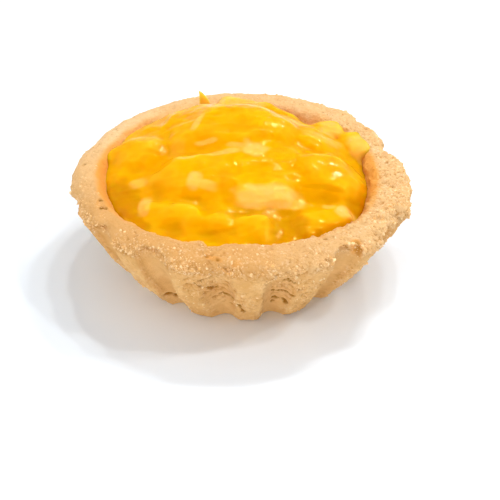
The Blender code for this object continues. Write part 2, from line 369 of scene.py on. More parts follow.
def scoop_depth(angle, height):
    """How far the outside is scooped in. A scoop has an arched top and is shallower at the foot."""
    turn = (angle - FLUTE_PHASE) / math.tau * FLUTE_COUNT
    number = np.round(turn)
    depth, half_width, start, fade, power, shift = all_scoops()[number.astype(int) % FLUTE_COUNT].T
    across = np.minimum(np.abs(turn - number - shift) / half_width, 1.0)
    share = height / HEIGHT
    arch = start - SCOOP_ARCH * across**2
    full = SCOOP_AT_FOOT + (1.0 - SCOOP_AT_FOOT) * smooth_step(0.0, SCOOP_FULL_FROM, share)
    down = smooth_step(arch, arch - fade, share) * full
    return depth * np.maximum(np.cos(0.5 * math.pi * across), 0.0) ** power * down


# Cracks in the front of the wall, as lines of (angle in degrees, height).
CRACKS = [
    [(-106.2, 14.3), (-105.2, 13.2), (-103.6, 13.0)],
    [(-103.8, 15.3), (-101.9, 15.7), (-99.8, 16.6), (-98.2, 16.9)],
    [(-102.3, 12.2), (-100.6, 11.0), (-99.3, 10.4)],
    [(-99.0, 8.4), (-97.6, 9.2), (-96.2, 8.5), (-93.6, 8.7), (-91.0, 7.6), (-89.2, 5.2)],
    [(-73.9, 14.9), (-71.8, 14.4), (-70.3, 13.8)],
    [(-76.4, 9.2), (-74.4, 8.9), (-72.8, 9.3), (-71.0, 9.8), (-69.2, 9.4)],
    [(-75.3, 6.4), (-73.3, 6.0)],
    [(-75.8, 4.6), (-74.9, 5.0)],
    [(-71.4, 6.2), (-70.6, 5.4)],
]
CRACK_WIDTH = 0.25
CRACK_DEPTH = 0.5
CRACK_EDGE = (1.3, 0.4)  # where its side starts and ends, in crack widths
# A crack's dark line is painted shade.
CRACK_SHADE = (1.7, 0.8)  # where its dark line fades out and is full
CRACK_BENDS = (0.3, 1.3)  # how far a crack wanders, and the size of the bends
CRACK_JAGS = (0.2, 0.5)

# Rugged places in the wall, and holes darkened with painted shade, as (angle in degrees, height,
# radius, strength).
RUGGED_PLACES = [
    (-102.0, 14.0, 4.6, 1.0),
    (-97.0, 19.0, 3.0, 0.7),
    (-95.5, 9.0, 3.4, 0.8),
    (-71.5, 13.0, 3.8, 1.0),
    (-72.5, 18.0, 3.0, 0.5),
    (-73.0, 7.0, 2.4, 0.4),
]
DARK_HOLES = [
    (-126.2, 4.2, 0.7, 1.0),
    (-123.8, 3.3, 0.8, 1.0),
]

# Pits in the top of the lip, sunk and darkened with painted shade, as (middle in plan, half width,
# half depth, turn, strength).
LIP_PITS = [
    ((-28.7, -12.3), 0.5, 0.35, 0, 1.0),
    ((-28.4, -15.0), 0.4, 0.5, 0, 1.0),
    ((-27.5, -14.9), 0.35, 0.4, 0, 0.9),
    ((23.0, -24.2), 0.6, 0.45, 20, 0.5),
    ((-6.9, -31.2), 0.5, 0.25, 10, 0.4),
    ((-4.7, -31.9), 0.4, 0.3, -20, 0.5),
    ((16.4, -24.0), 0.5, 0.35, 30, 0.5),
    ((-33.4, 2.0), 0.35, 0.35, 0, 0.8),
    ((-24.4, 22.4), 0.4, 0.4, 0, 0.6),
]

# Stains on the lip where gel has run into it, in the same terms.
STAINS = [
    ((-5.4, -31.6), 1.9, 0.45, -16, 0.5),
    ((22.8, -24.2), 1.2, 0.8, 20, 0.8),
    ((-1.2, -32.4), 1.0, 0.5, 20, 0.35),
    ((-28.0, -13.4), 1.6, 1.6, 0, 0.35),
]


def distance_to_line(across, up, line):
    """Distance of points from a line of (across, up) points."""
    nearest = np.full(len(across), np.inf)
    for (x0, y0), (x1, y1) in zip(line, line[1:]):
        span = (x1 - x0) ** 2 + (y1 - y0) ** 2
        share = np.clip(((across - x0) * (x1 - x0) + (up - y0) * (y1 - y0)) / span, 0.0, 1.0)
        away = np.hypot(across - x0 - share * (x1 - x0), up - y0 - share * (y1 - y0))
        nearest = np.minimum(nearest, away)
    return nearest


def crack_distance(points, angle, height):
    """How far points of the wall lie from the nearest crack, in crack widths."""
    degree = math.radians(1.0) * np.mean(np.hypot(points[:, 0], points[:, 1]))
    wander = [
        waves(points, (*CRACK_BENDS, 31 + axis)) + waves(points, (*CRACK_JAGS, 33 + axis))
        for axis in (0, 1)
    ]
    width = CRACK_WIDTH * np.clip(1.0 + 0.9 * lumps(points, 1.1, 35), 0.5, 1.4)
    across = np.degrees((angle + math.pi) % math.tau - math.pi) * degree + wander[0]
    up = height + wander[1]
    nearest = np.full(len(points), np.inf)
    for line in CRACKS:
        away = distance_to_line(across, up, [(place * degree, level) for place, level in line])
        nearest = np.minimum(nearest, away / width)
    return nearest


def placed_share(points, angle, height, places, raggedness):
    """How far points of the wall lie in round places: 0 outside them all."""
    ragged = waves(points, (raggedness, 0.9, 35))
    total = np.zeros(len(points))
    for middle, level, size, strength in places:
        apart = (angle - math.radians(middle) + math.pi) % math.tau - math.pi
        away = np.hypot(apart * np.hypot(points[:, 0], points[:, 1]), height - level) / size + ragged
        total = np.maximum(total, strength * smooth_step(1.2, 0.6, away))
    return total


def turned_round(x, y, degrees):
    """(x, y) in axes turned by an angle."""
    turn = math.radians(degrees)
    return x * math.cos(turn) + y * math.sin(turn), y * math.cos(turn) - x * math.sin(turn)


def spotted(points, spots, seed):
    """How far points lie in spots of the plan: 0 outside them all."""
    ragged = 0.3 * lumps(points, 2.2, seed)
    total = np.zeros(len(points))
    for (x, y), half_width, half_depth, turn, strength in spots:
        across, along = turned_round(points[:, 0] - x, points[:, 1] - y, turn)
        apart = (np.abs(across / half_width) ** 3 + np.abs(along / half_depth) ** 3) ** (1.0 / 3.0)
        total = np.maximum(total, strength * smooth_step(1.3, 0.7, apart + ragged))
    return total


# How crumbly the lip's top and its outer edge are, how far gel has soaked into the mouth's wall,
# how little the lip has browned, and how much painted light brightens the mouth's wall, every 30
# degrees.
LIP_CRUMBLE = (0.9, 0.65, 0.4, 0.3, 0.3, 0.3, 0.25, 0.32, 0.42, 0.45, 0.6, 0.85)
EDGE_CRUMBLE = (1.1, 0.8, 0.5, 0.45, 0.45, 0.45, 0.5, 0.85, 1.0, 1.0, 1.1, 1.1)
SOAKED = (1.4, 0.9, 0.3, 0.3, 0.2, 0.6, 1.3, 0.8, 0.2, 0.15, 0.15, 0.5)
PALENESS = (0.7, 0.6, 0.6, 0.5, 0.6, 1.0, 0.5, 0.15, 0.1, 0.1, 0.5, 0.75)
INNER_PAINTED_LIGHT = (0.2, 0.5, 1.4, 1.3, 0.7, 0.4, 0.0, 0.0, 0.0, 0.0, 0.0, 0.1)

BAND_HEIGHT = HEIGHT - 2.6  # of the middle of the crumbly band round the lip's outer edge
BAND_WIDTH = 1.9

# Grains as (size, seed), and the patches that hold them, as patches() reads them.
CLODS = (2.1, 14)
GRAINS = (1.25, 2)
FINE_GRAINS = (0.7, 8)
CLOD_PATCHES = (3.2, 15, -0.1, 0.25)
LOOSE_PATCHES = (2.6, 1, -0.15, 0.25)
PITS = (1.2, 3, 0.25, 0.5)
PITTED_PATCHES = (4.0, 4, -0.1, 0.3)
CRUMBED_PATCHES = (4.0, 45, -0.5, 0.5)

# Relief: waves as waves() reads them, and heights or depths in millimetres.
BROAD_WAVES = (0.22, 6.0, 5)
MIDDLE_WAVES = (0.1, 2.8, 9)
ROUGH_WAVES = (0.3, 1.9, 6)
LIP_WAVES = (0.7, 3.4, 39)
RUGGED_WAVES = (0.8, 1.9, 36)
RUGGED_RIDGES = (0.5, 1.1, 37)
RUGGED_LAYERS = (0.6, 0.6, 1.4)  # over 1 squeezes the waves together along that axis
RUGGED_SINK = 0.6
GRAIN_HEIGHT = 0.42
FINE_GRAIN_HEIGHT = 0.22
CLOD_HEIGHT = 0.55
PIT_DEPTH = 0.4
HOLE_DEPTH = 0.6

SOAKED_WAVES = (0.5, 2.2, 38)  # how unevenly gel soaks in


def crumbliness(angle, radius, height, scooped):
    """How crumbly the crust is. A scoop is smooth where the tin pressed it."""
    outer = smooth_step(MOUTH + 3.0, MOUTH + 5.5, radius)
    band = np.exp(-(((height - BAND_HEIGHT) / BAND_WIDTH) ** 2)) * outer
    wall = smooth_step(BAND_HEIGHT - 1.0, BAND_HEIGHT - 3.0, height) * outer
    lip = value_around(LIP_CRUMBLE, angle) * (1.0 - 0.4 * wall)
    edge = value_around(EDGE_CRUMBLE, angle) * band
    in_scoop = smooth_step(0.5, 1.6, scooped) * (1.0 - 0.6 * band)
    arris = smooth_step(0.02, 0.3, scooped) * smooth_step(1.3, 0.6, scooped)
    arris *= smooth_step(0.1 * HEIGHT, 0.5 * HEIGHT, height)
    crumble = np.maximum(lip, edge) * (1.0 - 0.8 * in_scoop) + 0.45 * arris
    return np.clip(crumble, 0.0, 1.2)


class Crust:
    """The crust's points before any relief, with what its relief and its colours depend on."""

    def __init__(self):
        self.radius, self.angle, self.height, self.faces = ring_mesh(crust_profile(), CRUST_STEPS)
        self.find_zones()
        self.find_damage()
        self.find_grains()

    def find_zones(self):
        """The points, true and formed, and which parts of the crust they are in."""
        radius, angle, height = self.radius, self.angle, self.height
        self.outside = smooth_step(0.4, 1.2, radius - cavity_radius(height))
        self.outside *= smooth_step(0.8, 0.9, radius / BASE_RADIUS)
        self.above_foot = smooth_step(0.0, 0.6, height)
        self.lip = smooth_step(HEIGHT - 4.6, HEIGHT - 3.0, height) * self.outside
        self.scooped = scoop_depth(angle, height) * self.outside
        lip_edge = smooth_step(0.6 * RIM_WIDTH, RIM_WIDTH, radius - MOUTH) * self.lip
        self.true = np.stack([radius * np.cos(angle), radius * np.sin(angle), height], axis=-1)
        self.base = formed(radius - self.scooped + edge_shift(angle, LIP_CHIPS) * lip_edge, angle, height)

    def find_damage(self):
        """Where the crust is rugged, rough, holed or cracked."""
        place = (self.base, self.angle, self.height)
        self.rugged = placed_share(*place, RUGGED_PLACES, 0.35) * self.outside
        crumble = crumbliness(self.angle, self.radius, self.height, self.scooped)
        self.rough = np.maximum(crumble, 0.5 * self.rugged) * self.above_foot
        self.hole = placed_share(*place, DARK_HOLES, 0.25) * self.outside
        self.hole = np.maximum(self.hole, spotted(self.base, LIP_PITS, 40) * self.lip)
        self.crack = crack_distance(*place)

    def find_grains(self):
        """Where the crumb has clods, grains and pits."""
        self.clods = granules(self.true, CLODS) * patches(self.true, CLOD_PATCHES)
        self.grains = granules(self.true, GRAINS)
        self.fine_grains = granules(self.true, FINE_GRAINS)
        self.loose = patches(self.true, LOOSE_PATCHES)
        self.pit = patches(self.true, PITS) * patches(self.true, PITTED_PATCHES)

    def relief(self):
        """How far the surface stands out at each point."""
        true, rough = self.true, self.rough
        grain = GRAIN_HEIGHT * self.grains * self.loose + FINE_GRAIN_HEIGHT * self.fine_grains
        layers = waves(true * RUGGED_LAYERS, RUGGED_WAVES) + np.abs(waves(true, RUGGED_RIDGES))
        relief = (waves(true, BROAD_WAVES) + waves(true, MIDDLE_WAVES)) * self.above_foot
        relief += rough * (grain + waves(true, ROUGH_WAVES) - PIT_DEPTH * self.pit)
        relief += CLOD_HEIGHT * rough * self.clods
        relief += self.rugged * (layers - RUGGED_SINK)
        relief += value_around(LIP_CRUMBLE, self.angle) * waves(true, LIP_WAVES) * self.lip
        crack = CRACK_DEPTH * smooth_step(*CRACK_EDGE, self.crack) * self.outside
        return relief - (crack + HOLE_DEPTH * self.hole)

    def grain(self):
        """How far each point is on a grain."""
        return (0.5 * self.grains * self.loose + 0.5 * self.fine_grains) * np.minimum(self.rough, 1.0)

    def dark(self):
        """How much painted shade darkens each point, in pits, cracks and holes."""
        crack = 0.9 * smooth_step(*CRACK_SHADE, self.crack) * self.outside
        return np.clip(0.25 * self.pit * self.rough + crack + self.hole, 0.0, 1.0)

    def soaked(self):
        """How far gel has soaked in, round the mouth and in stains on the lip."""
        ring = value_around(SOAKED, self.angle) * smooth_step(MOUTH + 2.0, MOUTH, self.radius)
        ring *= smooth_step(10.0, 14.0, self.height)
        stains = spotted(self.base, STAINS, 41) * self.lip
        return np.clip(np.maximum(ring * (1.0 + waves(self.true, SOAKED_WAVES)), stains), 0.0, 1.0)

    def pale(self):
        """How pale the lip is, and how much painted light brightens the mouth's wall."""
        inner = smooth_step(HEIGHT - 7.0, HEIGHT - 4.0, self.height) * (1.0 - self.outside)
        inner *= value_around(INNER_PAINTED_LIGHT, self.angle)
        return self.lip * value_around(PALENESS, self.angle) + inner

    def crumb_weight(self):
        """How likely a loose crumb is at each point: most so just above the crumbly band's middle."""
        edge = np.exp(-(((self.height - BAND_HEIGHT - 1.1) / 1.6) ** 2))
        edge *= smooth_step(MOUTH + 2.2, MOUTH + 4.6, self.radius)
        weight = np.clip(self.rough, 0.0, 1.0) ** 3 * (0.12 + edge)
        weight += 0.03 * self.above_foot * smooth_step(1.5, 0.5, self.scooped)
        return weight * (self.outside * patches(self.true, CRUMBED_PATCHES))


def build_crust(material):
    """The pastry shell. Returns what the loose crumbs lie on: points, normals and weights."""
    crust = Crust()
    mesh = flat_mesh("crust", crust.base, crust.faces)
    move_points(mesh, crust.base + normals_of(mesh) * crust.relief()[:, None])
    put_attributes(
        mesh,
        crumbly=np.minimum(crust.rough, 1.0),
        grain=crust.grain(),
        dark=crust.dark(),
        soaked=crust.soaked(),
        # hollow: how far each point lies in a small hollow, where painted shade darkens the crust
        hollow=hollow_of(mesh, rounds=6, deep=0.12),
        scoop=np.clip(crust.scooped / 3.0, 0.0, 1.0),
        pale=crust.pale(),
        baked=crust.lip * (1.0 - value_around(PALENESS, crust.angle)),
    )
    ground = (points_of(mesh), normals_of(mesh), crust.crumb_weight())
    put_piece("crust_shell", mesh, material, "crust")
    return ground


# Loose crumbs that cling to the crust.
CRUMB_COUNT = 5600
CRUMB_SIZES = (0.12, 0.46)  # radius, in millimetres
CRUMB_SMALLNESS = 5  # the higher, the more of them are small


def unit_ball():
    """The points and triangles of a coarse ball of radius 1."""
    ball = bmesh.new()
    bmesh.ops.create_icosphere(ball, subdivisions=1, radius=1.0)
    points = np.array([vertex.co for vertex in ball.verts])
    triangles = np.array([[vertex.index for vertex in face.verts] for face in ball.faces])
    ball.free()
    return points, triangles


def build_crumbs(ground, material):
    """Crumbs scattered over the crust, most of them along the lip's outer edge."""
    points, normals, weight = ground
    draw = np.random.default_rng(SEED)
    shape, triangles = unit_ball()
    places = draw.choice(len(points), CRUMB_COUNT, p=weight / weight.sum())
    corners, faces, tones = [], [], []
    for number, place in enumerate(places):
        size = CRUMB_SIZES[0] + (CRUMB_SIZES[1] - CRUMB_SIZES[0]) * draw.random() ** CRUMB_SMALLNESS
        uneven = draw.uniform(0.5, 1.3, (len(shape), 1))
        turn = np.array(Euler(draw.uniform(0.0, math.tau, 3)).to_matrix())
        crumb = (shape * uneven * draw.uniform(0.5, 1.15, 3)) @ turn.T * size
        corners.append(crumb + points[place] - 0.2 * size * normals[place])
        faces.append(triangles + number * len(shape))
        tones.append(np.full(len(shape), draw.random()))
    mesh = flat_mesh("crumbs", np.concatenate(corners), np.concatenate(faces).tolist())
    put_attributes(mesh, grain=np.concatenate(tones))
    put_piece("crumbs", mesh, material)


# The filling.

# How far the gel stands over the rim's height at the middle, its slope to the back, how flat the
# heap's top is, and how far the gel's edge lies below the rim, every 30 degrees.
MIDDLE_RISE = 1.5
BACK_SLOPE = 0.16
HEAP_FLATNESS = 3
EDGE_DROPS = (2.6, 2.0, 2.6, 0.8, 0.5, 0.7, 2.2, 3.4, 3.6, 3.4, 3.6, 3.6)

# Lumps where fruit lies under the gel: (middle in plan, rise, half width, half depth, turn).
LUMPS = [
    ((3.0, -2.4), 1.7, 25.0, 8.6, 0),
    ((18.8, -2.6), 3.9, 8.4, 7.8, -6),
    ((-9.4, -3.8), 2.6, 11.4, 7.2, 4),
    ((-1.2, 11.2), 3.3, 16.0, 11.0, 2),
    ((-22.4, 6.0), 2.9, 7.4, 5.8, 16),
    ((-11.6, 18.4), 1.8, 8.4, 5.6, 24),
    ((16.6, 11.0), 1.3, 7.0, 5.2, -14),
    ((-27.8, 6.8), 4.0, 3.8, 2.8, 24),
]
LUMP_WARP = 1.8  # how far they are bent
LUMP_BLEND = 4  # the higher, the more sharply they meet

# Fruit pieces that stand out of the gel: the middle of the top face, (width, depth, height) and
# (tip to the front, tip to the right, turn).
FRUIT_PIECES = [
    ((5.4, -9.9, 22.9), (12.8, 6.8, 6.0), (32, 3, 2)),
    ((2.2, -19.4, 20.7), (9.0, 7.4, 6.0), (22, -4, -6)),
    ((-6.4, -18.4, 20.2), (9.6, 7.4, 5.4), (24, -8, 12)),
    ((-14.9, -15.0, 21.0), (11.6, 7.2, 6.4), (22, -8, -22)),
    ((17.6, -14.8, 19.9), (15.0, 7.0, 6.0), (22, 4, 30)),
    ((19.6, 17.2, 21.5), (6.6, 5.4, 5.0), (8, 4, 10)),
    ((25.6, 11.8, 21.2), (5.2, 8.0, 5.2), (8, 8, 26)),
    ((-0.8, 26.0, 22.2), (10.0, 6.0, 3.4), (2, 3, -4)),
    ((7.4, 22.6, 22.1), (10.8, 6.4, 4.4), (4, 14, -30)),
    ((-4.4, -11.6, 21.8), (6.0, 6.0, 5.0), (28, -8, 22)),
    ((2.6, 2.2, 24.2), (6.4, 4.0, 4.0), (12, 0, -8)),
]
PIECE_ROUNDING = 0.3  # of a fruit piece's shortest side
PIECE_UNEVENNESS = 0.12


def gel_top(x, y):
    """Height of the gel's top over points of the floor plan."""
    angle = np.arctan2(y, x)
    edge_drop = value_around(EDGE_DROPS, angle)
    reach = formed(cavity_radius(HEIGHT - edge_drop), angle, np.full_like(angle, HEIGHT))
    share = np.minimum(1.0, np.hypot(x, y) / np.hypot(reach[..., 0], reach[..., 1])) ** HEAP_FLATNESS
    plan = np.stack([x, y, np.zeros_like(x)], axis=-1)
    warped_x = x + LUMP_WARP * lumps(plan, 7.0, 41)
    warped_y = y + LUMP_WARP * lumps(plan, 6.0, 42)
    rise = np.zeros_like(angle)
    for (middle_x, middle_y), height, half_width, half_depth, turn in LUMPS:
        across, along = turned_round(warped_x - middle_x, warped_y - middle_y, turn)
        apart = np.hypot(across / half_width, along / half_depth)
        rise += (height * smooth_step(1.05, 0.45, apart)) ** LUMP_BLEND
    middle = MIDDLE_RISE + BACK_SLOPE * y
    edge = reach[..., 2] - HEIGHT - edge_drop
    lumped = rise ** (1.0 / LUMP_BLEND) * (1.0 - 0.6 * share)
    return HEIGHT + middle * (1.0 - share) + edge * share + lumped


def piece_place(piece):
    """The matrix that puts a fruit piece, centred on the origin, where it lies in the heap."""
    top, size, turns = piece
    turn = Euler([math.radians(value) for value in turns]).to_matrix().to_4x4()
    return Matrix.Translation(top) @ turn @ Matrix.Translation((0.0, 0.0, -0.5 * size[2]))


def fruit_piece(number, piece):
    """One cut piece of fruit, its corners uneven and its edges round, as an object."""
    size = piece[1]
    draw = random.Random(SEED + number)
    block = bmesh.new()
    bmesh.ops.create_cube(block, size=1.0)
    for corner in block.verts:
        for axis in range(3):
            uneven = draw.uniform(-PIECE_UNEVENNESS, PIECE_UNEVENNESS)
            corner.co[axis] = (corner.co[axis] + uneven) * size[axis]
    width = PIECE_ROUNDING * min(size)
    bmesh.ops.bevel(block, geom=block.edges[:], offset=width, segments=4, affect="EDGES", profile=0.5)
    mesh = bpy.data.meshes.new(f"fruit_{number}")
    block.to_mesh(mesh)
    block.free()
    mesh.transform(piece_place(piece))
    return bpy.data.objects.new(f"fruit_{number}", mesh)


# How far the filling reaches into the crust all round, so that no gap shows.
FILLING_REACH = 0.5


def gel_core():
    """A drum wider than the cavity, its top raised to the heap's shape."""
    width = MOUTH + 3.0
    bottom = FLOOR_THICKNESS - 1.0
    rings = [(width * ring / GEL_RINGS, HEIGHT) for ring in range(GEL_RINGS + 1)]
    radius, angle, height, faces = ring_mesh(rings + [(width, bottom), (0.0, bottom)], GEL_STEPS)
    x, y = radius * np.cos(angle), radius * np.sin(angle)
    height = np.where(height > 0.5 * HEIGHT, gel_top(x, y), height)
    return bpy.data.objects.new("core", flat_mesh("core", np.stack([x, y, height], axis=-1), faces))


def cavity_plug():
    """All the room for the filling: the cavity, a little more all round, and the air over it."""
    ceiling = HEIGHT + 20.0
    lip = HEIGHT - 0.1
    air = [(0.0, ceiling), (RIM_RADIUS, ceiling), (RIM_RADIUS, lip), (MOUTH + FILLING_REACH, lip)]
    wall = [(radius + FILLING_REACH, height) for radius, height in inner_wall()]
    floor = FLOOR_THICKNESS - FILLING_REACH
    profile = air + wall + [(wall[-1][0] - FILLING_REACH, floor), (0.0, floor)]
    radius, angle, height, faces = ring_mesh(profile, GEL_STEPS)
    return bpy.data.objects.new("plug", flat_mesh("plug", formed(radius, angle, height), faces))


def combined(obj, operation, others):
    """The mesh of a Boolean between an object and others, which are all removed."""
    scene = bpy.context.scene.collection
    scene.objects.link(obj)
    group = bpy.data.collections.new("others")
    scene.children.link(group)
    for other in others:
        group.objects.link(other)
    boolean = obj.modifiers.new("Boolean", "BOOLEAN")
    boolean.operation = operation
    boolean.operand_type = "COLLECTION"
    boolean.collection = group
    boolean.solver = "MANIFOLD"
    mesh = evaluated_mesh(obj)
    for spent in [obj, *others]:
        bpy.data.objects.remove(spent, do_unlink=True)
    bpy.data.collections.remove(group)
    return mesh


def evaluated_mesh(obj):
    """A copy of an object's mesh with its modifiers applied."""
    bpy.context.view_layer.update()
    graph = bpy.context.evaluated_depsgraph_get()
    return bpy.data.meshes.new_from_object(obj.evaluated_get(graph))


def remeshed(mesh, voxel):
    """A mesh of even small quads over the outside of another."""
    obj = bpy.data.objects.new("remesh", mesh)
    bpy.context.scene.collection.objects.link(obj)
    remesh = obj.modifiers.new("Remesh", "REMESH")
    remesh.mode = "VOXEL"
    remesh.voxel_size = voxel
    even = evaluated_mesh(obj)
    bpy.data.objects.remove(obj, do_unlink=True)
    return even


# Pale fruit seen through the gel, and last one faint painted highlight: (middle in plan, half
# width, half depth, turn, how pale).
PALE_SPOTS = [
    ((5.2, -10.6), 6.2, 2.3, 2, 1.0),
    ((10.0, -11.0), 3.0, 1.2, -10, 0.5),
    ((-9.8, -7.4), 1.5, 1.9, -20, 0.8),
    ((-7.4, -8.4), 2.2, 1.0, -14, 0.65),
    ((-21.8, -4.2), 1.7, 1.5, 14, 0.5),
    ((-19.9, -11.6), 1.2, 2.7, -6, 0.75),
    ((21.4, -12.2), 2.1, 1.7, 28, 0.95),
    ((18.0, -11.2), 1.4, 0.7, 0, 0.6),
    ((2.9, 2.6), 2.5, 1.7, -16, 0.9),
    ((-0.8, 3.4), 2.6, 0.5, -4, 0.6),
    ((-7.6, 4.8), 2.6, 0.45, 0, 0.7),
    ((-5.2, 1.2), 4.6, 0.8, 12, 0.65),
    ((-11.6, -0.6), 1.8, 0.5, -6, 0.6),
    ((19.8, 16.4), 2.4, 2.4, 0, 0.75),
    ((25.6, 10.6), 2.1, 3.1, 22, 0.7),
    ((17.5, 10.6), 3.6, 1.8, -10, 0.45),
    ((-0.6, 26.4), 5.6, 3.0, 0, 0.8),
    ((-12.8, 22.6), 5.4, 1.3, 20, 0.75),
    ((6.2, 20.8), 4.6, 1.1, -34, 0.5),
    ((12.6, 16.6), 2.2, 1.3, -30, 0.5),
    ((-5.1, 16.6), 1.6, 1.4, 10, 0.55),
    ((-9.4, 10.9), 0.8, 2.8, -20, 0.8),
    # A faint painted highlight, not fruit.
    ((-13.6, 4.6), 1.6, 2.2, 0, 0.1),
]

# Where the gel is deeper amber, in the same terms: partly thick gel, and partly painted shade
# under pieces, in gaps and against the crust.
AMBER_AND_SHADE_SPOTS = [
    ((9.6, -18.4), 3.6, 4.8, 0, 0.8),
    ((-21.9, -14.8), 1.5, 5.2, 33, 0.85),
    ((5.0, -14.2), 8.0, 1.2, 4, 0.75),
    ((-24.6, -8.6), 3.6, 6.6, 26, 0.9),
    ((16.6, -7.4), 5.0, 0.5, -4, 0.6),
    ((16.0, -9.2), 5.4, 1.2, -4, 0.4),
    ((-1.6, 7.2), 6.4, 1.4, 0, 0.3),
    ((-3.0, -8.6), 1.6, 4.2, 10, 0.4),
    ((27.6, 4.0), 2.4, 5.6, 12, 0.9),
    ((-12.4, 2.4), 7.6, 0.6, -8, 0.4),
    ((-16.4, -6.0), 2.0, 2.6, 0, 0.15),
]

# Where the gel's skin is finely wrinkled and sparkles, in the same terms.
WRINKLED_SPOTS = [
    ((11.8, -2.2), 0.8, 2.6, 0, 1.0),
    ((11.6, -8.4), 0.5, 1.8, 0, 0.8),
    ((10.6, 14.0), 1.6, 1.2, 0, 0.8),
    ((12.6, 9.0), 1.2, 2.6, 0, 0.8),
    ((18.5, -5.5), 0.6, 0.6, 0, 0.8),
    ((21.6, -7.7), 1.0, 0.6, -20, 1.0),
    ((14.6, -9.3), 2.2, 0.6, 0, 0.7),
    ((21.8, -13.4), 0.9, 1.0, 0, 0.9),
    ((21.9, 15.0), 0.9, 0.9, 0, 0.9),
    ((24.2, 6.2), 0.7, 1.2, 0, 0.9),
    ((-0.8, 0.0), 1.2, 0.7, 0, 0.8),
    ((-4.7, -9.3), 0.7, 0.8, 0, 0.6),
]

# The gel's skin: ripples and wrinkles as waves() reads them, and streaks that run across the front.
RIPPLES = (0.45, 4.4, 12)
FINE_RIPPLES = (0.16, 1.8, 13)
STREAK_STRETCH = (0.25, 1.0, 0.6)
STREAKS = (1.5, 11)
STREAK_HEIGHT = 0.14
WRINKLES = (0.14, 1.8, 14)


def gel_body():
    """The core with its fruit, cut to the cavity, as one mesh of small quads."""
    pieces = [fruit_piece(number, piece) for number, piece in enumerate(FRUIT_PIECES)]
    heap = bpy.data.objects.new("heap", combined(gel_core(), "UNION", pieces))
    mesh = remeshed(combined(heap, "INTERSECT", [cavity_plug()]), GEL_VOXEL)
    mesh.name = "filling"
    return mesh


def gel_ripples(points):
    """How far the gel's skin stands out at its points, in ripples and streaks."""
    streaks = lumps(points * STREAK_STRETCH, *STREAKS)
    ripple = waves(points, RIPPLES) + waves(points, FINE_RIPPLES)
    ripple += STREAK_HEIGHT * (1.0 - np.abs(streaks)) ** 4
    return ripple * smooth_step(HEIGHT - 6.0, HEIGHT - 4.5, points[:, 2])


def shape_skin(mesh):
    """Rounds the gel's edges, and ripples and wrinkles it. Returns its points."""
    edges = edges_of(mesh)
    points = relaxed(points_of(mesh), edges, rounds=30)
    move_points(mesh, points)
    move_points(mesh, points + normals_of(mesh) * gel_ripples(points)[:, None])
    points = relaxed(points_of(mesh), edges, rounds=2)
    move_points(mesh, points)
    wrinkles = waves(points, WRINKLES) * spotted(points, WRINKLED_SPOTS, 23)
    points += normals_of(mesh) * wrinkles[:, None]
    move_points(mesh, points)
    return points


def build_filling(material):
    """The gel with its fruit as one soft, glossy body."""
    mesh = gel_body()
    points = shape_skin(mesh)
    low = smooth_step(HEIGHT - 0.8, HEIGHT - 4.0, points[:, 2])
    put_attributes(
        mesh,
        # fruit: pale fruit under the gel, and one faint painted highlight
        fruit=spotted(points, PALE_SPOTS, 21),
        # deep: thick gel low down against the crust and in amber spots, partly painted shade
        deep=np.maximum(low, spotted(points, AMBER_AND_SHADE_SPOTS, 22)),
        ripe=0.4 * smooth_step(-4.0, -14.0, points[:, 1]),
        # hollow: above 0 in hollows, which get painted shade, and below 0 on ridges, which get a painted
        # highlight
        hollow=hollow_of(mesh, rounds=60, deep=0.46),
    )
    put_piece("fruit_heap", mesh, material, "filling")


# A flake of fruit that stands up at the back: its foot's middle, its height, how far its tip leans
# in plan, and its half width and half thickness.
FLAKE_FOOT = (-8.3, 27.0, 20.8)
FLAKE_HEIGHT = 3.7
FLAKE_LEAN = (-1.2, 0.6)
FLAKE_HALF_SIZES = (1.5, 0.5)


def build_flake(material):
    """The thin, pointed flake, as a tapering ring mesh."""
    shares = np.linspace(0.0, 1.0, 13)[-2::-1]
    widths = 0.05 + 0.95 * (1.0 - shares) ** 0.8
    radius, angle, height, faces = ring_mesh([(0.0, 1.0), *zip(widths, shares), (0.0, 0.0)], 24)
    x = FLAKE_FOOT[0] + FLAKE_HALF_SIZES[0] * radius * np.cos(angle) + FLAKE_LEAN[0] * height**2
    y = FLAKE_FOOT[1] + FLAKE_HALF_SIZES[1] * radius * np.sin(angle) + FLAKE_LEAN[1] * height**2
    points = np.stack([x, y, FLAKE_FOOT[2] + FLAKE_HEIGHT * height], axis=-1)
    points += np.stack([waves(points, (0.12, 1.2, 51 + axis)) for axis in range(3)], axis=-1)
    mesh = flat_mesh("flake", points, faces)
    put_attributes(
        mesh,
        fruit=np.full(len(points), 0.8),
        # Darker towards its foot.
        deep=0.15 * smooth_step(1.0, 0.0, height),
        ripe=np.ones(len(points)),
        hollow=np.zeros(len(points)),
    )
    put_piece("fruit_flake", mesh, material)


# Materials.

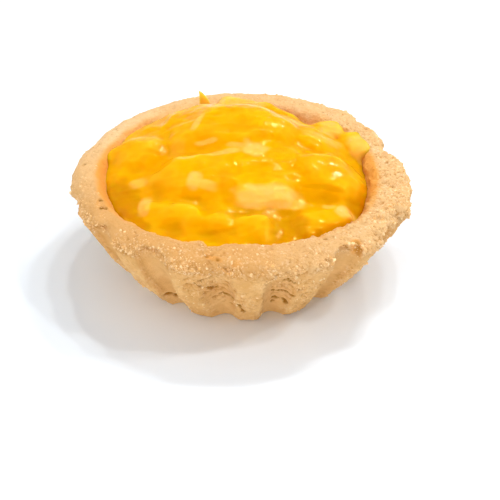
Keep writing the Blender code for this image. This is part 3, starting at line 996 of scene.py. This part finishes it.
class Shader:
    """A Principled material and short calls that add nodes to it."""

    def __init__(self, name):
        self.material = bpy.data.materials.new(name)
        self.material.use_nodes = True
        self.tree = self.material.node_tree
        self.principled = self.tree.nodes["Principled BSDF"]

    def link(self, source, target):
        self.tree.links.new(source, target)

    def set(self, **values):
        """Sets the shader's own sockets: Coat_Weight=1.0 sets "Coat Weight"."""
        for name, value in values.items():
            self.principled.inputs[name.replace("_", " ")].default_value = value

    def attribute(self, name):
        node = self.tree.nodes.new("ShaderNodeAttribute")
        node.attribute_name = name
        return node.outputs["Fac"]

    def noise(self, size, detail=2.0, roughness=0.5, stretch=(1.0, 1.0, 1.0)):
        """Noise with lumps of about that size in millimetres."""
        place = self.tree.nodes.new("ShaderNodeTexCoord")
        mapping = self.tree.nodes.new("ShaderNodeMapping")
        mapping.inputs["Scale"].default_value = stretch
        node = self.tree.nodes.new("ShaderNodeTexNoise")
        node.inputs["Scale"].default_value = 1.0 / (size * MM)
        node.inputs["Detail"].default_value = detail
        node.inputs["Roughness"].default_value = roughness
        self.link(place.outputs["Object"], mapping.inputs["Vector"])
        self.link(mapping.outputs["Vector"], node.inputs["Vector"])
        return node.outputs["Fac"]

    def ranged(self, value, source, target=(0.0, 1.0)):
        """A value mapped from one range to another, and kept within it."""
        return range_node(self.tree, value, source, target)

    def product(self, a, b):
        """Two values multiplied."""
        node = self.tree.nodes.new("ShaderNodeMath")
        node.operation = "MULTIPLY"
        self.link(a, node.inputs[0])
        self.link(b, node.inputs[1])
        return node.outputs[0]

    def mixed(self, share, a, b):
        """Two colours mixed by a share. Each colour is a socket or (red, green, blue)."""
        node = self.tree.nodes.new("ShaderNodeMix")
        node.data_type = "RGBA"
        self.link(share, node.inputs["Factor"])
        for name, colour in (("A", a), ("B", b)):
            socket = [s for s in node.inputs if s.name == name and s.type == "RGBA"][0]
            if isinstance(colour, tuple):
                socket.default_value = (*colour, 1.0)
            else:
                self.link(colour, socket)
        return [s for s in node.outputs if s.type == "RGBA"][0]

    def layered(self, colour, layers):
        """A colour under layers of (attribute, its range, range of the layer's share, colour)."""
        for name, source, target, over in layers:
            colour = self.mixed(self.ranged(self.attribute(name), source, target), colour, over)
        return colour

    def paint(self, colour):
        self.link(colour, self.principled.inputs["Base Color"])

    def bump(self, height, distance):
        """Adds a bump of that height in millimetres."""
        node = self.tree.nodes.new("ShaderNodeBump")
        node.inputs["Distance"].default_value = distance * MM
        self.link(height, node.inputs["Height"])
        self.link(node.outputs["Normal"], self.principled.inputs["Normal"])


def range_node(tree, value, source, target):
    """A value mapped from one range to another by a new node of a tree."""
    node = tree.nodes.new("ShaderNodeMapRange")
    tree.links.new(value, node.inputs["Value"])
    node.inputs["From Min"].default_value = source[0]
    node.inputs["From Max"].default_value = source[1]
    node.inputs["To Min"].default_value = target[0]
    node.inputs["To Max"].default_value = target[1]
    return node.outputs["Result"]


# The crust's colours, as linear (red, green, blue): its tones, mottles, flour and speckles. The
# layers, as layered() reads them, lie under and over the flour and the speckles. The pale layer
# also holds painted light on the mouth's wall. The top layers are painted shade in hollows, the
# gel's soaked stains, and painted shade in cracks, pits and holes.
CRUST_TONES = ((0.80, 0.44, 0.145), (0.90, 0.545, 0.215))
MOTTLED = (0.74, 0.37, 0.105)
FLOURY = (0.99, 0.76, 0.48)
SPECKLED = (0.62, 0.27, 0.055)
CRUST_LAYERS = [
    ("baked", (0.0, 1.0), (0.0, 0.9), (0.72, 0.355, 0.100)),
    # The lip's own paleness, and painted light on the mouth's wall, mostly at the back.
    ("pale", (0.0, 1.3), (0.0, 0.91), (0.93, 0.66, 0.36)),
    ("scoop", (0.0, 1.0), (0.0, 0.4), (0.83, 0.485, 0.18)),
    ("grain", (0.25, 0.75), (0.0, 0.6), (0.97, 0.68, 0.33)),
]
TOP_CRUST_LAYERS = [
    # Painted shade: the crust is darker where its surface lies in a small hollow.
    ("hollow", (0.1, 0.9), (0.0, 0.75), (0.58, 0.25, 0.05)),
    ("soaked", (0.0, 1.0), (0.0, 1.0), (0.87, 0.38, 0.065)),
    # Painted shade in cracks, pits and holes.
    ("dark", (0.0, 1.0), (0.0, 1.0), (0.38, 0.135, 0.0)),
]
CRUMB_TONES = ((0.83, 0.46, 0.15), (0.97, 0.71, 0.39))

# The gel's colours in the same way. Ridges are where its hollow value is below 0; ridges get a
# painted highlight and hollows painted shade.
GEL_TONES = ((0.80, 0.33, 0.0), (0.82, 0.385, 0.0))
GEL_LAYERS = [
    ("ripe", (0.0, 1.0), (0.0, 1.0), (0.86, 0.445, 0.0)),
    # Painted highlight: paler and yellower along ridges.
    ("hollow", (0.0, -0.9), (0.0, 0.4), (0.88, 0.53, 0.02)),
    # Deeper amber: partly thick gel, partly painted shade.
    ("deep", (0.0, 1.0), (0.0, 1.0), (0.58, 0.24, 0.0)),
    # Painted shade: darker amber in hollows.
    ("hollow", (0.0, 0.9), (0.0, 0.8), (0.66, 0.30, 0.0)),
]
FRUIT = (0.91, 0.50, 0.10)


def floury_colour(shader, colour):
    """A colour with flour and speckles over it, where the crust is crumbly."""
    crumbly = shader.attribute("crumbly")
    dusted = shader.ranged(shader.noise(2.4), (0.45, 0.6), (0.1, 0.9))
    flour = shader.ranged(shader.noise(0.5, detail=3.0, roughness=0.6), (0.52, 0.62))
    colour = shader.mixed(shader.product(shader.product(flour, dusted), crumbly), colour, FLOURY)
    speckle = shader.ranged(shader.noise(0.75, detail=3.0, roughness=0.65), (0.53, 0.62), (0.12, 0.7))
    return shader.mixed(shader.product(speckle, crumbly), colour, SPECKLED)


def crust_material():
    """Baked shortcrust, whose attributes say where it is pale, crumbly or soaked, and where painted
    light and painted shade lie.
    """
    shader = Shader("shortcrust")
    colour = shader.mixed(shader.ranged(shader.noise(5.0), (0.35, 0.65)), *CRUST_TONES)
    mottle = shader.ranged(shader.noise(1.8, detail=3.0), (0.42, 0.62), (0.0, 0.5))
    colour = shader.layered(shader.mixed(mottle, colour, MOTTLED), CRUST_LAYERS)
    shader.paint(shader.layered(floury_colour(shader, colour), TOP_CRUST_LAYERS))
    shader.set(Roughness=0.85, IOR=1.35)
    shader.bump(shader.noise(0.45, detail=4.0, roughness=0.7), 0.45)
    return shader.material


def crumb_material():
    """Loose crumbs, each with one tone."""
    shader = Shader("crumb")
    shader.paint(shader.mixed(shader.attribute("grain"), *CRUMB_TONES))
    shader.set(Roughness=0.8, IOR=1.35)
    return shader.material


def gel_material():
    """Glossy scattering gel: paler fruit, deeper amber, painted shade and painted highlights."""
    shader = Shader("fruit_gel")
    colour = shader.mixed(shader.ranged(shader.noise(7.0), (0.35, 0.65)), *GEL_TONES)
    colour = shader.layered(colour, GEL_LAYERS)
    fibre = shader.ranged(shader.noise(1.2, stretch=(0.4, 1.0, 1.0)), (0.35, 0.65), (0.8, 1.0))
    fruit = shader.product(shader.attribute("fruit"), fibre)
    shader.paint(shader.mixed(fruit, colour, FRUIT))
    shader.set(Roughness=0.08, IOR=1.33, Specular_IOR_Level=0.22, Specular_Tint=(1.0, 0.75, 0.07, 1.0))
    shader.set(Subsurface_Weight=1.0, Subsurface_Scale=3.0 * MM, Subsurface_Radius=(1.0, 0.5, 0.1))
    shader.bump(shader.noise(1.6), 0.1)
    return shader.material


# The camera, at the photograph's viewing angle. Its distance is from the rim's middle.
CAMERA_DISTANCE = 280.0
CAMERA_ELEVATION = math.radians(34.0)
CAMERA_DIP = math.radians(37.47)  # below the horizon
CAMERA_TURN = math.radians(0.434)  # to the right
CAMERA_LENS = 95.04


def add_camera():
    camera = bpy.data.objects.new("camera", bpy.data.cameras.new("camera"))
    bpy.context.scene.collection.objects.link(camera)
    back = CAMERA_DISTANCE * math.cos(CAMERA_ELEVATION)
    up = HEIGHT + CAMERA_DISTANCE * math.sin(CAMERA_ELEVATION)
    camera.location = (0.0, -back * MM, up * MM)
    camera.rotation_euler = (0.5 * math.pi - CAMERA_DIP, 0.0, -CAMERA_TURN)
    camera.data.lens = CAMERA_LENS
    camera.data.sensor_width = 36.0
    camera.data.clip_start = 0.01
    camera.data.clip_end = 20.0
    bpy.context.scene.camera = camera


# The sky's strength at the horizon and higher up, and the sines of elevation where it changes.
SKY_STRENGTHS = (0.55, 0.19)
SKY_FADE = (0.06, 0.3)

# Large soft lights: name, place and (width, height) in metres, and power in watts.
SOFT_LIGHTS = [
    ("left", (-0.55, 0.0, 0.62), (1.2, 1.2), 4.5),
    ("right", (0.55, 0.0, 0.62), (1.2, 1.2), 1.5),
    ("front", (-0.1, -0.75, 0.12), (1.5, 0.22), 3.5),
    ("fill", (-0.2, -0.5, 0.6), (1.0, 1.0), 1.1),
]
LIGHT_AIM = (0.0, 0.0, 0.015)

# Where small bright lights stand that make the gel sparkle, in metres.
SPARK_PLACES = [
    (0.10, 0.18, 0.45),
    (0.17, 0.20, 0.42),
    (0.21, 0.31, 0.31),
    (0.26, -0.03, 0.42),
    (0.36, 0.0, 0.34),
    (0.0, 0.2, 0.46),
]
SPARK_SIZE = 0.03
SPARK_POWER = 0.37


def add_light(name, place, size, power):
    """An area light of (width, height) at a place in metres, turned to the tart."""
    light = bpy.data.lights.new(name, "AREA")
    light.shape = "RECTANGLE"
    light.size, light.size_y = size
    light.energy = power
    obj = bpy.data.objects.new(name, light)
    bpy.context.scene.collection.objects.link(obj)
    obj.location = place
    obj.rotation_euler = (Vector(LIGHT_AIM) - Vector(place)).to_track_quat("-Z", "Y").to_euler()


def add_floor():
    """A pale floor, far wider than the tart."""
    reach = 3.0
    points = [(-reach, -reach, 0.0), (reach, -reach, 0.0), (reach, reach, 0.0), (-reach, reach, 0.0)]
    floor = bpy.data.objects.new("floor", flat_mesh("floor", points, [(0, 1, 2, 3)]))
    bpy.context.scene.collection.objects.link(floor)
    shader = Shader("floor")
    shader.set(Base_Color=(0.84, 0.905, 0.97, 1.0), Roughness=0.35)
    floor.data.materials.append(shader.material)


def add_sky():
    """White light from all round, stronger near the horizon."""
    world = bpy.data.worlds.new("studio")
    world.use_nodes = True
    tree = world.node_tree
    direction = tree.nodes.new("ShaderNodeTexCoord")
    parts = tree.nodes.new("ShaderNodeSeparateXYZ")
    tree.links.new(direction.outputs["Generated"], parts.inputs["Vector"])
    strength = range_node(tree, parts.outputs["Z"], SKY_FADE, SKY_STRENGTHS)
    background = tree.nodes["Background"]
    tree.links.new(strength, background.inputs["Strength"])
    background.inputs["Color"].default_value = (1.0, 1.0, 1.0, 1.0)
    bpy.context.scene.world = world


def add_surroundings():
    """A pale floor and soft white light."""
    add_floor()
    add_sky()
    for light in SOFT_LIGHTS:
        add_light(*light)
    for number, place in enumerate(SPARK_PLACES):
        add_light(f"spark_{number}", place, (SPARK_SIZE, SPARK_SIZE), SPARK_POWER)
    bpy.context.scene.view_settings.view_transform = "Standard"


add_camera()
add_surroundings()
build_crumbs(build_crust(crust_material()), crumb_material())
GEL = gel_material()
build_filling(GEL)
build_flake(GEL)
